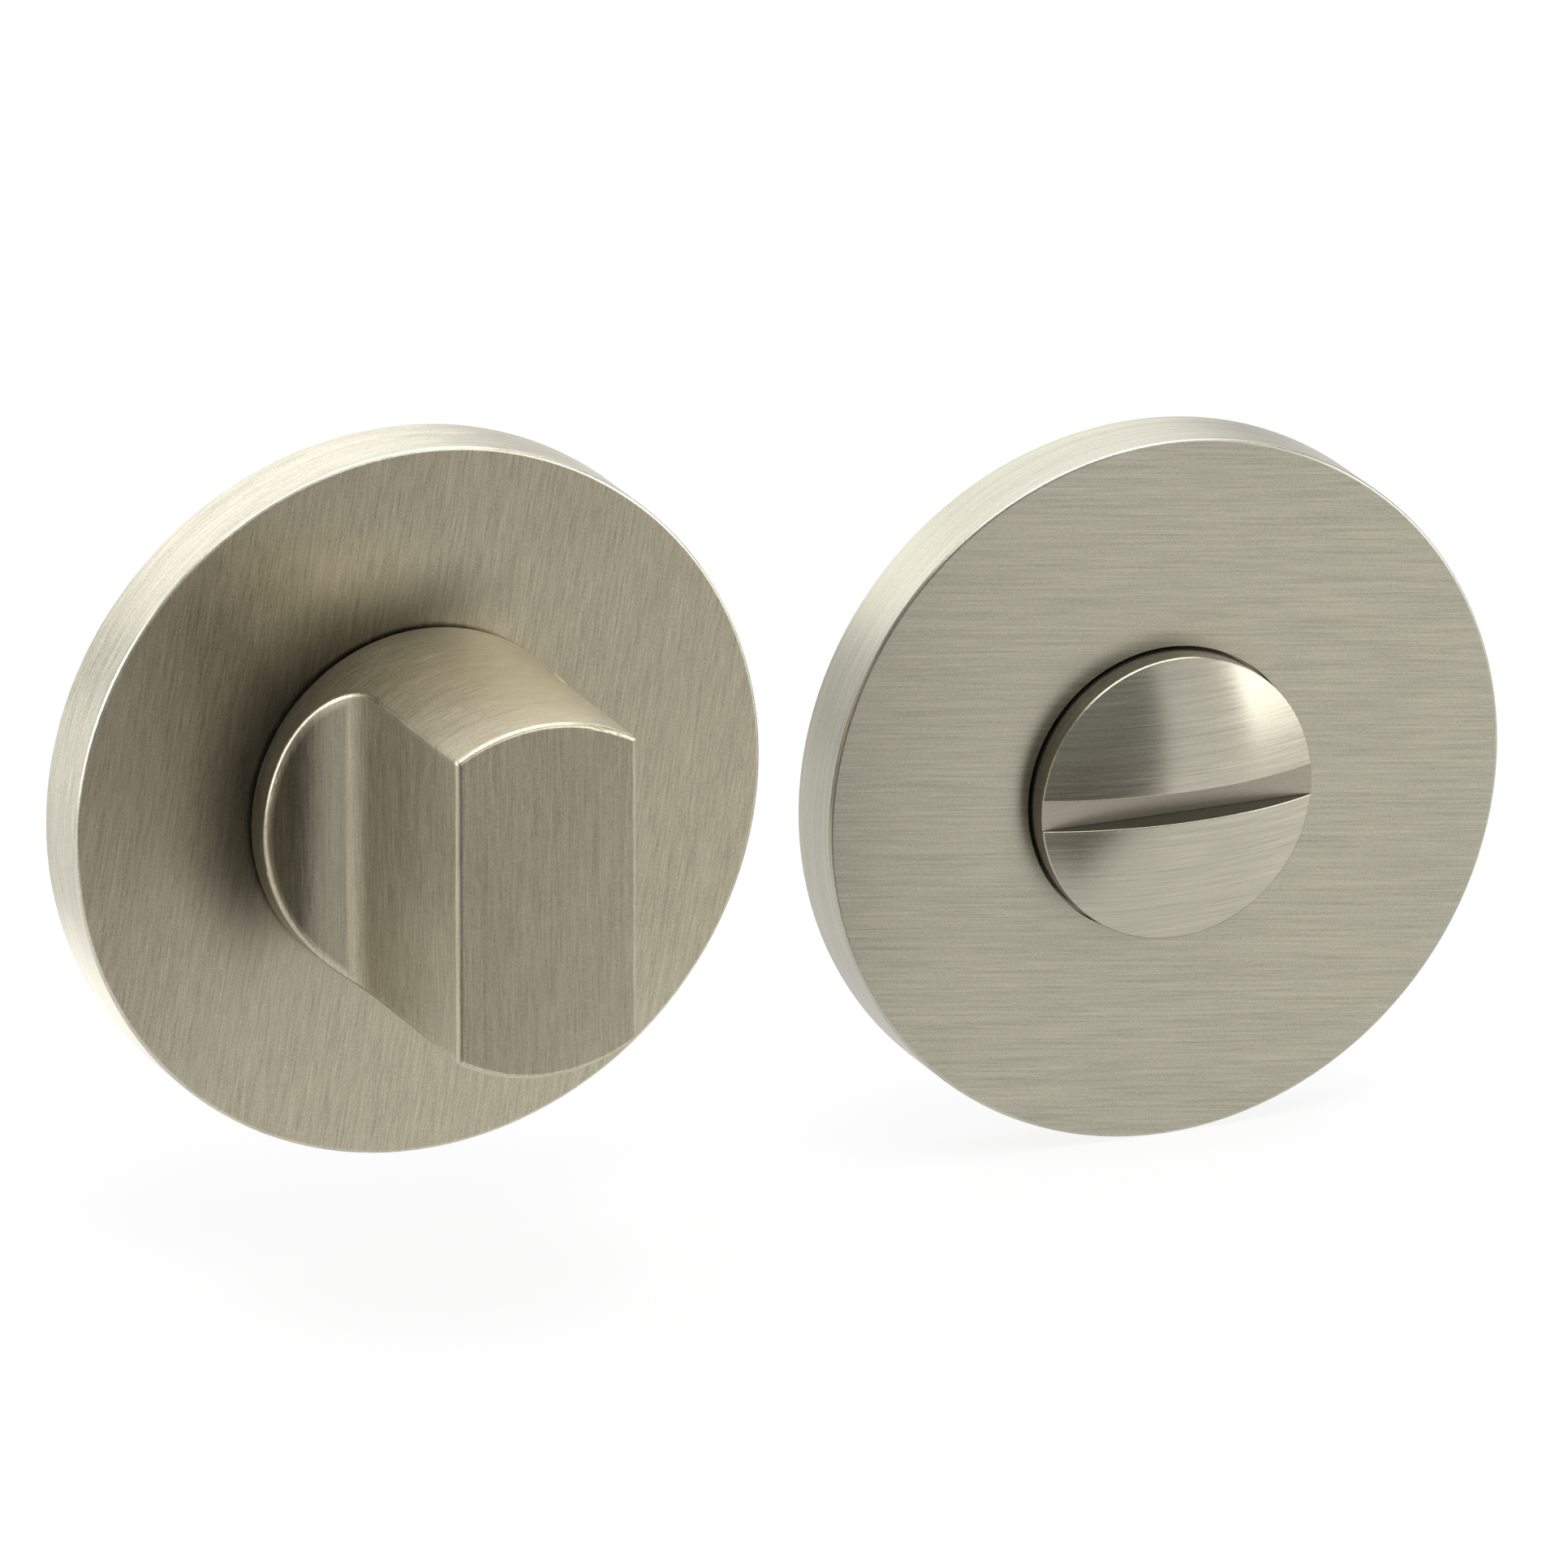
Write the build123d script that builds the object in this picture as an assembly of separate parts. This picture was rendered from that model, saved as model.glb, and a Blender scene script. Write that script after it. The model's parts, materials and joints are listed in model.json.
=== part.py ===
from build123d import *
from math import radians, tan
import os

# Bathroom thumb turn lock: a thumb turn and an emergency release, each on a round rose.
# Millimetres. The door's face is the plane Y = 0, the front looks along -Y, and Z is up.
# The origin is where the thumb turn's axis meets the door's face.
# A height is a distance in front of the door's face, so a negative height lies inside the door.

# Where the release stands beside the thumb turn
halves_gap = 5.4
release_down = 7.0

# Cover roses
rose_dia = 52.0
rose_depth = 5.6
face_wall = 1.6
rim_wall = 1.7
rose_edge = 0.25
hub_dia = 22.0
hub_rear = 2.6
lead_in = 0.3
key_width = 2.8
key_depth = 1.0
key_length = 1.4
pry_width = 6.0
pry_depth = 0.9

# Base plates
plate_thick = 3.4
plate_web = 1.4
plate_clear = 0.2
plate_outer_wall = 1.8
plate_inner_wall = 1.6
hub_clear = 0.5
rib_width = 1.2
rib_count = 8
boss_dia = 10.0
key_clear = 0.1
fixing_margin = 7.0
bolt_hole_dia = 4.3
bolt_head_dia = 8.2
countersink_angle = 90.0
peg_dia = 7.0
peg_length = 6.0

# Snap rings
ring_wire = 1.0
ring_height = 1.6
ring_clear = 0.1
ring_play = 0.15
ring_opening = 40.0

# Bearings of both moving pieces
neck_dia = 14.0
neck_edge = 0.4
run_clear = 0.05
seat_clear = 0.02
bush_wall = 1.0
bush_flange_margin = 0.5
bush_flange = 0.3
end_play = 0.1
thrust_dia = 19.0
thrust_thick = 0.5
washer_slack = 0.3
spring_dia = 18.0
spring_thick = 0.3
spring_rise = 0.85
circlip_groove_dia = 13.4
circlip_thick = 1.0
circlip_clear = 0.05
circlip_wall = 2.0
circlip_offset = 0.35
circlip_lug = 4.0
circlip_lug_width = 2.6
circlip_eye = 1.4
circlip_opening = 2.2

# Thumb turn
grip_dia = 26.0
grip_front = 28.7
blade_thick = 13.6
shoulder_height = 8.6
scoop_radius = 4.7
grip_edge = 0.4
grip_base_edge = 0.2
neck_reach = 3.8
pin_dia = 2.5
pin_wall = 0.5
pin_slot = 0.5
pin_depth = 2.1
pin_inset = 0.4
pin_clear = 0.02

# Spindle
spindle_width = 8.0
spindle_corner_dia = 10.6
spindle_tip = 1.8
spindle_reach = 35.0
spindle_seat = 9.5
socket_clear = 0.05
socket_lead = 0.5

# Emergency release button
button_dia = 21.0
button_side = 2.0
button_dome = 2.2
button_clear = 0.2
button_sink = 1.2
button_edge = 0.15
button_rim_edge = 0.15
slot_width = 2.2
slot_drop = 0.08
slot_edge = 0.1
shank_reach = 11.0
socket_depth = 14.0

# Threaded posts
post_dia = 6.8
post_tap_dia = 3.3
post_head_width = 8.0
post_head_thick = 1.3
post_reach = 6.0
post_chamfer = 0.4
post_head_turn = 30.0

# Space past a face, so that a cut runs clean through it, and the tolerance for finding an edge
over = 1.0
match = 0.01

# Sizes that follow from the ones above
release_right = rose_dia + halves_gap
fixing_spacing = rose_dia - 2 * fixing_margin
rose_inner_dia = rose_dia - 2 * rim_wall
plate_dia = rose_inner_dia - 2 * plate_clear
plate_hole_dia = hub_dia + 2 * hub_clear
ring_outer_dia = rose_inner_dia + ring_wire - 2 * plate_clear
bush_bore_dia = neck_dia + 2 * run_clear
bush_dia = bush_bore_dia + 2 * bush_wall
hub_bore_dia = bush_dia + 2 * seat_clear
bush_flange_dia = button_dia - 2 * bush_flange_margin
thrust_rear = hub_rear - thrust_thick
circlip_front = thrust_rear - spring_rise - circlip_clear
circlip_rear = circlip_front - circlip_thick
grip_base = rose_depth + bush_flange + end_play
button_seat = rose_depth - button_sink
button_base = button_seat + bush_flange + end_play
button_rim = rose_depth + button_side
button_top = button_rim + button_dome
slot_floor = button_rim - slot_drop
countersink_depth = (bolt_head_dia - bolt_hole_dia) / 2 / tan(radians(countersink_angle / 2))


def at(height):
    """Plane parallel to the door, this far in front of it, with X right and Z up."""
    return Plane(origin=(0, -height, 0), x_dir=(1, 0, 0), z_dir=(0, -1, 0))


def disc(dia, rear, front):
    """Round plate about the turning axis, between two heights."""
    return extrude(at(rear) * Circle(dia / 2), front - rear)


def ring(outer_dia, inner_dia, rear, front):
    """Round plate with a round hole through it."""
    return extrude(at(rear) * (Circle(outer_dia / 2) - Circle(inner_dia / 2)), front - rear)


def block(width, tall, rear, front, x=0.0, z=0.0):
    """Rectangular bar that runs straight out from the door, between two heights."""
    return extrude(at(rear) * Pos(x, z) * Rectangle(width, tall), front - rear)


def circle_edges(solid, dia, height):
    """Round edges of one diameter at one height."""
    def fits(edge):
        if edge.geom_type != GeomType.CIRCLE:
            return False
        centre = edge.arc_center
        return abs(edge.radius - dia / 2) < match and abs(-centre.Y - height) < match
    return solid.edges().filter_by(fits)


def cover_rose(bore_dia):
    """Hollow metal cap: face, rim, hub behind the middle, ring groove, two keys and a pry notch."""
    cap = disc(rose_dia, 0, rose_depth)
    cap = fillet(circle_edges(cap, rose_dia, rose_depth), rose_edge)
    cap -= ring(rose_inner_dia, hub_dia, -over, rose_depth - face_wall)
    cap -= disc(hub_dia, -over, hub_rear)
    cap -= disc(bore_dia, 0, rose_depth + over)
    cap = chamfer(circle_edges(cap, rose_inner_dia, 0), lead_in)
    groove_dia = ring_outer_dia + 2 * ring_clear
    groove_half = ring_wire / 2 + ring_clear
    cap -= ring(groove_dia, plate_dia, ring_height - groove_half, ring_height + groove_half)
    key_front = rose_depth - face_wall
    key_root = rose_inner_dia / 2 + rim_wall / 2
    key_tip = rose_inner_dia / 2 - key_depth
    for side in (1, -1):
        cap += block(key_width, key_root - key_tip, key_front - key_length, key_front,
                     z=side * (key_root + key_tip) / 2)
    cap -= block(pry_width, 2 * rim_wall, -over, pry_depth, z=-rose_dia / 2)
    return cap


def base_plate(boss_cut):
    """Moulded plate: thin web, outer and inner walls, ribs and two bosses on the fixing centres."""
    plate = disc(plate_dia, 0, plate_thick)
    plate -= ring(plate_dia - 2 * plate_outer_wall, plate_hole_dia + 2 * plate_inner_wall,
                  plate_web, plate_thick + over)
    rib_inner = plate_hole_dia / 2 + plate_inner_wall / 2
    rib_outer = plate_dia / 2 - plate_outer_wall / 2
    rib = block(rib_outer - rib_inner, rib_width, plate_web, plate_thick, x=(rib_inner + rib_outer) / 2)
    for index in range(rib_count):
        plate += Rot(0, index * 360 / rib_count, 0) * rib
    for side in (1, -1):
        boss = extrude(at(0) * Pos(side * fixing_spacing / 2, 0) * Circle(boss_dia / 2), plate_thick)
        plate += boss & disc(plate_dia, 0, plate_thick)
    plate -= disc(plate_hole_dia, -over, plate_thick + over)
    ring_seat_dia = ring_outer_dia - 2 * ring_wire - 2 * ring_play
    groove_half = ring_wire / 2 + ring_clear
    plate -= ring(plate_dia + over, ring_seat_dia, ring_height - groove_half, ring_height + groove_half)
    key_rear = rose_depth - face_wall - key_length - key_clear
    notch_depth = key_depth + key_clear
    for side in (1, -1):
        notch_middle = side * (rose_inner_dia / 2 - notch_depth + over)
        plate -= block(key_width + 2 * key_clear, 2 * over, key_rear, plate_thick + over, z=notch_middle)
    for side in (1, -1):
        plate = boss_cut(plate, side * fixing_spacing / 2)
    return plate


def peg_with_bolt_hole(plate, x):
    """Locating peg behind the plate, with a countersunk bolt hole through it."""
    plate += extrude(at(-peg_length) * Pos(x, 0) * Circle(peg_dia / 2), peg_length)
    hole = extrude(at(-peg_length - over) * Pos(x, 0) * Circle(bolt_hole_dia / 2),
                   peg_length + plate_thick + 2 * over)
    sink = at(plate_thick) * Pos(x, 0, -countersink_depth / 2) * Cone(
        bolt_hole_dia / 2, bolt_head_dia / 2, countersink_depth)
    return plate - hole - sink


def hexagon(x, across_flats, rear, front):
    """Six-sided block, turned so that flats face the hub and the rim."""
    outline = RegularPolygon(across_flats / 2, 6, major_radius=False, rotation=post_head_turn)
    return extrude(at(rear) * Pos(x, 0) * outline, front - rear)


def post_seat(plate, x):
    """Hole for a threaded post, with a hexagonal seat that stops it from turning."""
    hole = extrude(at(-over) * Pos(x, 0) * Circle(post_dia / 2 + seat_clear), plate_thick + 2 * over)
    seat_front = plate_thick + over
    seat_rear = plate_thick - post_head_thick
    seat = hexagon(x, post_head_width + 2 * seat_clear, seat_rear, seat_front)
    return plate - hole - seat


def threaded_post(x):
    """Metal pillar with a hexagonal head in the plate and a tapped hole for the bolt."""
    head_rear = plate_thick - post_head_thick
    post = extrude(at(-post_reach) * Pos(x, 0) * Circle(post_dia / 2), post_reach + head_rear)
    post = chamfer(circle_edges(post, post_dia, -post_reach), post_chamfer)
    post += hexagon(x, post_head_width, head_rear, plate_thick)
    bore = extrude(at(-post_reach - over) * Pos(x, 0) * Circle(post_tap_dia / 2),
                   post_reach + plate_thick + 2 * over)
    return post - bore


def snap_ring():
    """Open ring of round wire that springs into the rose's groove, with its opening at the bottom."""
    middle = ring_outer_dia / 2 - ring_wire / 2
    section = Plane(origin=(0, -ring_height, -middle), x_dir=(0, 0, 1), z_dir=(1, 0, 0)) * Circle(
        ring_wire / 2)
    wire = revolve(section, Axis((0, 0, 0), (0, -1, 0)), 360 - ring_opening)
    return Rot(0, -ring_opening / 2, 0) * wire


def bush(flange_rear):
    """Plastic bearing with a thin flange under the moving piece."""
    barrel = ring(bush_dia, bush_bore_dia, hub_rear, flange_rear)
    return barrel + ring(bush_flange_dia, bush_bore_dia, flange_rear, flange_rear + bush_flange)


def thrust_washer():
    """Flat plastic washer behind the hub."""
    return ring(thrust_dia, neck_dia + washer_slack, thrust_rear, hub_rear)


def spring_washer():
    """Thin ring bowed like a leaf spring between the thrust washer and the circlip."""
    rise = spring_rise - spring_thick
    half = spring_dia / 2
    bow = (half * half + rise * rise) / (2 * rise)
    blank = ring(spring_dia, neck_dia + washer_slack, circlip_front, thrust_rear)
    low = circlip_front + circlip_clear / 2
    sheet = Cylinder(bow + spring_thick, spring_dia + over) - Cylinder(bow, spring_dia + 2 * over)
    return blank & Pos(0, -(low - bow), 0) * Pos(0, -rise, 0) * sheet


def circlip():
    """Open retaining ring with two eyes, wider opposite its opening, flat in the neck's groove."""
    seat = circlip_groove_dia / 2 + circlip_clear
    outer = seat + circlip_wall - circlip_offset
    shape = Pos(0, -circlip_offset) * Circle(outer)
    eye_x = circlip_opening / 2 + circlip_lug_width / 2
    eye_z = seat + circlip_lug - circlip_lug_width / 2
    for side in (1, -1):
        lug_middle = Pos(side * eye_x, (seat + eye_z) / 2)
        shape += lug_middle * Rectangle(circlip_lug_width, eye_z - seat + over)
        shape += Pos(side * eye_x, eye_z) * Circle(circlip_lug_width / 2)
        shape -= Pos(side * eye_x, eye_z) * Circle(circlip_eye / 2)
    shape -= Circle(seat)
    shape -= Pos(0, outer) * Rectangle(circlip_opening, 2 * outer)
    return extrude(at(circlip_rear) * shape, circlip_thick)


def neck(rear, front):
    """Shaft that runs in the bush, with the groove for the circlip."""
    shaft = disc(neck_dia, rear, front)
    shaft = chamfer(circle_edges(shaft, neck_dia, rear), neck_edge)
    groove_rear = circlip_rear - circlip_clear
    groove_front = circlip_front + circlip_clear
    return shaft - ring(neck_dia + over, circlip_groove_dia, groove_rear, groove_front)


def square_socket(rear, front):
    """Square hollow for the spindle, opened out at its mouth."""
    width = spindle_width + 2 * socket_clear
    hollow = block(width, width, rear, front)
    mouth = at(rear) * Rectangle(width + 2 * socket_lead, width + 2 * socket_lead)
    throat = at(rear + socket_lead) * Rectangle(width, width)
    return hollow + loft([mouth, throat])


def grip_scoop(side):
    """Space cut away beside the blade: a flat flank that sweeps into the round shoulder."""
    flank = side * blade_thick / 2
    outside = side * (grip_dia / 2 + over)
    front = grip_front + over
    corner = make_face(Polyline((flank, -front), (flank, -shoulder_height), (outside, -shoulder_height),
                                (outside, -front), close=True))
    root = corner.vertices().sort_by_distance((flank, -shoulder_height, 0))[0]
    corner = fillet(root, scoop_radius)
    return extrude(corner, grip_dia / 2 + over, both=True)


def thumb_turn():
    """Round bar scooped to a flat blade, with its neck, spindle socket and pin hole."""
    grip = disc(grip_dia, grip_base, grip_front)
    grip = fillet(circle_edges(grip, grip_dia, grip_base), grip_base_edge)
    grip -= grip_scoop(1) + grip_scoop(-1)
    grip = fillet(grip.edges().filter_by(is_sharp_on_grip), grip_edge)
    turn = grip + neck(-neck_reach, grip_base)
    turn -= square_socket(-neck_reach, spindle_seat + seat_clear)
    return turn - pin_hole()


def is_sharp_on_grip(edge):
    """True for the grip's edges in front of its base, apart from the smooth seams of its scoops."""
    height = -edge.center().Y
    upright = edge.geom_type == GeomType.LINE and edge.tangent_at(0.5).Z ** 2 > 1 - match
    smooth_seam = upright and height < grip_front - match
    return height > grip_base + grip_base_edge + match and not smooth_seam


def pin_hole():
    """Hole across the neck and spindle for the rolled pin."""
    across = Cylinder(pin_dia / 2 + pin_clear, neck_dia + 2 * over)
    return Pos(0, pin_depth, 0) * Rot(0, 90, 0) * across


def spindle_pin():
    """Rolled spring pin: a tube with a slot along it."""
    length = neck_dia - 2 * pin_inset
    tube = Cylinder(pin_dia / 2, length) - Cylinder(pin_dia / 2 - pin_wall, length + over)
    tube -= Pos(pin_dia / 2, 0, 0) * Box(pin_dia, pin_slot, length + over)
    return Pos(0, pin_depth, 0) * Rot(0, 90, 0) * tube


def spindle():
    """Square bar from the grip through the door, with turned corners and a turned tip."""
    bar = block(spindle_width, spindle_width, -spindle_reach, spindle_seat)
    turned = disc(spindle_corner_dia, -spindle_reach, spindle_seat)
    turned = chamfer(circle_edges(turned, spindle_corner_dia, -spindle_reach), spindle_tip)
    return (bar & turned) - pin_hole()


def release_button():
    """Domed button with a straight coin slot, a socketed shank and its circlip groove."""
    radius = button_dia / 2
    dome_radius = (radius * radius + button_dome * button_dome) / (2 * button_dome)
    head = disc(button_dia, button_base, button_top)
    head &= at(button_top - dome_radius) * Sphere(dome_radius)
    head = fillet(circle_edges(head, button_dia, button_rim), button_rim_edge)
    head -= block(button_dia + 2 * over, slot_width, slot_floor, button_top + over)
    head = fillet(head.edges().filter_by(is_slot_lip), slot_edge)
    head = fillet(circle_edges(head, button_dia, button_base), button_edge)
    button = head + neck(-shank_reach, button_base)
    return button - square_socket(-shank_reach, socket_depth - shank_reach)


def is_slot_lip(edge):
    """True for the two curved edges where the coin slot breaks through the dome."""
    middle = edge.center()
    return abs(abs(middle.Z) - slot_width / 2) < match and -middle.Y > button_rim + match


def release_cover():
    """Cover rose with a sunk round seat for the button."""
    cap = cover_rose(hub_bore_dia)
    return cap - disc(button_dia + 2 * button_clear, button_seat, rose_depth + over)


turn_half = {
    "turn_cover_rose": cover_rose(hub_bore_dia),
    "turn_base_plate": base_plate(peg_with_bolt_hole),
    "turn_snap_ring": snap_ring(),
    "turn_bush": bush(rose_depth),
    "turn_thrust_washer": thrust_washer(),
    "turn_spring_washer": spring_washer(),
    "turn_circlip": circlip(),
    "thumb_turn": thumb_turn(),
    "spindle": spindle(),
    "spindle_pin": spindle_pin(),
}

release_half = {
    "release_cover_rose": release_cover(),
    "release_base_plate": base_plate(post_seat),
    "release_snap_ring": snap_ring(),
    "release_bush": bush(button_seat),
    "release_thrust_washer": thrust_washer(),
    "release_spring_washer": spring_washer(),
    "release_circlip": circlip(),
    "release_button": release_button(),
    "threaded_post_left": threaded_post(-fixing_spacing / 2),
    "threaded_post_right": threaded_post(fixing_spacing / 2),
}

beside = Pos(release_right, 0, -release_down)
pieces = dict(turn_half)
for name, piece in release_half.items():
    pieces[name] = beside * piece

os.makedirs("parts", exist_ok=True)
for name, piece in pieces.items():
    export_step(piece, f"parts/{name}.step")
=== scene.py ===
import json
import math
from dataclasses import dataclass, replace

import bpy
from bpy.props import FloatProperty, FloatVectorProperty, IntProperty, PointerProperty
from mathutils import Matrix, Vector


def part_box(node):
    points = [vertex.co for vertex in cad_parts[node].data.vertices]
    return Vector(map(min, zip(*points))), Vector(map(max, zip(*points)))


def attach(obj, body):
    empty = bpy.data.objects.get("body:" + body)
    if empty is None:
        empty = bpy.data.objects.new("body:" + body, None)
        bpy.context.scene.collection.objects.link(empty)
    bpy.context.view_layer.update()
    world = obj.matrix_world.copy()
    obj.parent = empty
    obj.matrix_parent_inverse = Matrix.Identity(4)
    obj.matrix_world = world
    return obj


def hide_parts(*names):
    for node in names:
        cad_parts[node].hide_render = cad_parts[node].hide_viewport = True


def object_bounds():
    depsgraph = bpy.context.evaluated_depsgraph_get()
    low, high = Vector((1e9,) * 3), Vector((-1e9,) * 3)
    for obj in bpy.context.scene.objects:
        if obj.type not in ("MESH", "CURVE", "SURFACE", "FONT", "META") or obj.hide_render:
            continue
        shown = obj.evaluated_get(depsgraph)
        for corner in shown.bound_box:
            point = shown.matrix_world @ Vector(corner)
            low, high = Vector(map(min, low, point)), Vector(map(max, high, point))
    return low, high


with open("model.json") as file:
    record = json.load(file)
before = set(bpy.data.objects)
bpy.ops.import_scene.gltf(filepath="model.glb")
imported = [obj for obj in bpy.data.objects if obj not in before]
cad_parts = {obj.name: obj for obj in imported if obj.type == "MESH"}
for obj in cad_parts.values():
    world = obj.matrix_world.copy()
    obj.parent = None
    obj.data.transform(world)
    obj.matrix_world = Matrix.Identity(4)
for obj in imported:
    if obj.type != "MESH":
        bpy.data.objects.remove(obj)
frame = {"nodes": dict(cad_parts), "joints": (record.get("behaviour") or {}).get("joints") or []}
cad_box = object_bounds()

bl_info = {
    "name": "Bathroom thumb turn lock",
    "version": (1, 0, 0),
    "blender": (4, 5, 0),
    "location": "3D View > Sidebar > Lock",
    "description": "Finishes, post threads and studio for the two halves of a bathroom thumb turn lock",
    "category": "Object",
}

# Lengths in the shaders are millimetres, and everything else is in metres.
# A height is a distance in front of the door's face, which is the plane Y = 0.
MM = 0.001


def axis_of(joint_name):
    """Where a joint's turning axis crosses the door's face: x and z in millimetres."""
    joint = next(j for j in frame["joints"] if j["name"] == joint_name)
    return joint["pos_m"][0] / MM, joint["pos_m"][2] / MM


def radius_across(node):
    """Half the width of a round CAD node in millimetres."""
    low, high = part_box(node)
    return (high.x - low.x) / 2 / MM


def front_of(node):
    """Height of a CAD node's front in millimetres."""
    return -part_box(node)[0].y / MM


TURN_AXIS = axis_of("thumb_turn_rotation")
RELEASE_AXIS = axis_of("coin_release_rotation")
TURN_ROSE = "turn_cover_rose"
RELEASE_ROSE = "release_cover_rose"
GRIP = "thumb_turn"
BUTTON = "release_button"
TURN_HALF = (TURN_ROSE, GRIP)
RELEASE_HALF = (RELEASE_ROSE, BUTTON)
ROSE_RADIUS = radius_across(TURN_ROSE)
ROSE_FRONT = front_of(TURN_ROSE)
GRIP_RADIUS = radius_across(GRIP)
GRIP_FRONT = front_of(GRIP)
BUTTON_RADIUS = radius_across(BUTTON)

# Sizes that the finishes follow and the frame doesn't hold, in millimetres
GRIP_SHOULDER = 8.6
BLADE_HALF = 6.8
BUTTON_BASE = 4.8
SLOT_HALF = 1.1
SLOT_FLOOR = 7.52
# Width in millimetres over which one finish changes into the next
FADE = 0.1


class LockFinish(bpy.types.PropertyGroup):
    """Colours and gloss of the lock's materials"""
    turn_nickel: FloatVectorProperty(
        name="Thumb turn nickel", description="Satin nickel of the thumb turn half",
        subtype="COLOR", size=3, min=0.0, max=1.0, default=(0.441, 0.404, 0.302))
    release_nickel: FloatVectorProperty(
        name="Release nickel", description="Satin nickel of the release half",
        subtype="COLOR", size=3, min=0.0, max=1.0, default=(0.417, 0.393, 0.311))
    button_nickel: FloatVectorProperty(
        name="Button nickel", description="Satin nickel of the release button",
        subtype="COLOR", size=3, min=0.0, max=1.0, default=(0.455, 0.430, 0.345))
    nickel_roughness: FloatProperty(
        name="Nickel roughness", description="Mean roughness of the brushed nickel",
        subtype="FACTOR", min=0.0, max=1.0, default=0.36)
    brush_stretch: FloatProperty(
        name="Brush stretch", description="How far the brushed lines stretch a highlight across them",
        subtype="FACTOR", min=0.0, max=1.0, default=0.7)
    # Painted highlight: the rims' nickel is lighter than the faces', more so on the left rose
    left_rim_lit_nickel: FloatVectorProperty(
        name="Left rim", description="Turned nickel of the left rose's rim",
        subtype="COLOR", size=3, min=0.0, max=1.0, default=(0.545, 0.520, 0.425))
    right_rim_lit_nickel: FloatVectorProperty(
        name="Right rim", description="Turned nickel of the right rose's rim",
        subtype="COLOR", size=3, min=0.0, max=1.0, default=(0.455, 0.438, 0.362))
    button_roughness: FloatProperty(
        name="Button roughness", description="Mean roughness of the release button",
        subtype="FACTOR", min=0.0, max=1.0, default=0.27)
    # Rubbed edges are lighter: partly wear, partly a painted highlight
    edge_wear_and_highlight: FloatProperty(
        name="Edge lift", description="How much brighter an edge is where the lines have been rubbed away",
        min=1.0, max=3.0, default=1.12)
    # Painted shade: darkens the left rose up and to the left of the grip, where the grip's shadow falls
    left_corner_painted_shade: FloatProperty(
        name="Left corner grime", description="How much dirt darkens the left rose beside the grip",
        subtype="FACTOR", min=0.0, max=1.0, default=0.72)
    # Painted shade: darkens the right rose up and to the left of the button
    right_corner_painted_shade: FloatProperty(
        name="Right corner grime", description="How much dirt darkens the right rose beside the button",
        subtype="FACTOR", min=0.0, max=1.0, default=0.30)
    # Painted shade at the bottom of the grip's scoops, where the blade shades the shoulder
    scoop_painted_shade: FloatProperty(
        name="Scoop grime", description="How much dirt darkens the bottom of the grip's scoops",
        subtype="FACTOR", min=0.0, max=1.0, default=0.50)
    slot_nickel: FloatVectorProperty(
        name="Slot nickel", description="Nickel of the coin slot's floor",
        subtype="COLOR", size=3, min=0.0, max=1.0, default=(0.385, 0.345, 0.258))
    # Painted shade on the coin slot's lower wall
    slot_painted_shade: FloatProperty(
        name="Slot grime", description="How much dirt darkens the coin slot's lower wall",
        subtype="FACTOR", min=0.0, max=1.0, default=0.60)
    turn_contrast: FloatProperty(
        name="Thumb turn contrast", description="How much the turn half's brushed lines vary in tone",
        min=0.0, max=4.0, default=1.5)
    release_contrast: FloatProperty(
        name="Release contrast", description="How much the release half's brushed lines vary in tone",
        min=0.0, max=4.0, default=1.15)
    speckle: FloatProperty(
        name="Speckle", description="Share of fine grain between the brushed lines",
        subtype="FACTOR", min=0.0, max=1.0, default=0.4)
    turn_line_length: FloatProperty(
        name="Thumb turn line length", min=0.05, max=4.0, default=0.4,
        description="Length of the turn half's lines, where the release half's is 1")
    brush_depth: FloatProperty(
        name="Brush depth", description="Depth of the brushed lines",
        unit="LENGTH", min=0.0, default=0.000006, precision=6)
    turn_line_angle: FloatProperty(
        name="Left rose lines", description="Direction of the left rose's brushed lines, from +X to +Z",
        unit="ROTATION", default=math.radians(79.5))
    release_line_angle: FloatProperty(
        name="Right rose lines", description="Direction of the right rose's brushed lines, from +X to +Z",
        unit="ROTATION", default=math.radians(-7.5))
    cast_colour: FloatVectorProperty(
        name="Cast backs", description="Plated but unbrushed metal behind the roses",
        subtype="COLOR", size=3, min=0.0, max=1.0, default=(0.30, 0.285, 0.25))
    plate_colour: FloatVectorProperty(
        name="Base plates", description="Moulded plastic of the base plates",
        subtype="COLOR", size=3, min=0.0, max=1.0, default=(0.045, 0.046, 0.048))
    bearing_colour: FloatVectorProperty(
        name="Bearings", description="Plastic of the bushes and thrust washers",
        subtype="COLOR", size=3, min=0.0, max=1.0, default=(0.022, 0.021, 0.020))
    spring_colour: FloatVectorProperty(
        name="Spring steel", description="Dark spring steel of the rings, washers and pin",
        subtype="COLOR", size=3, min=0.0, max=1.0, default=(0.20, 0.19, 0.18))
    zinc_colour: FloatVectorProperty(
        name="Zinc plate", description="Zinc plated steel of the spindle and the posts",
        subtype="COLOR", size=3, min=0.0, max=1.0, default=(0.60, 0.61, 0.62))


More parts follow.
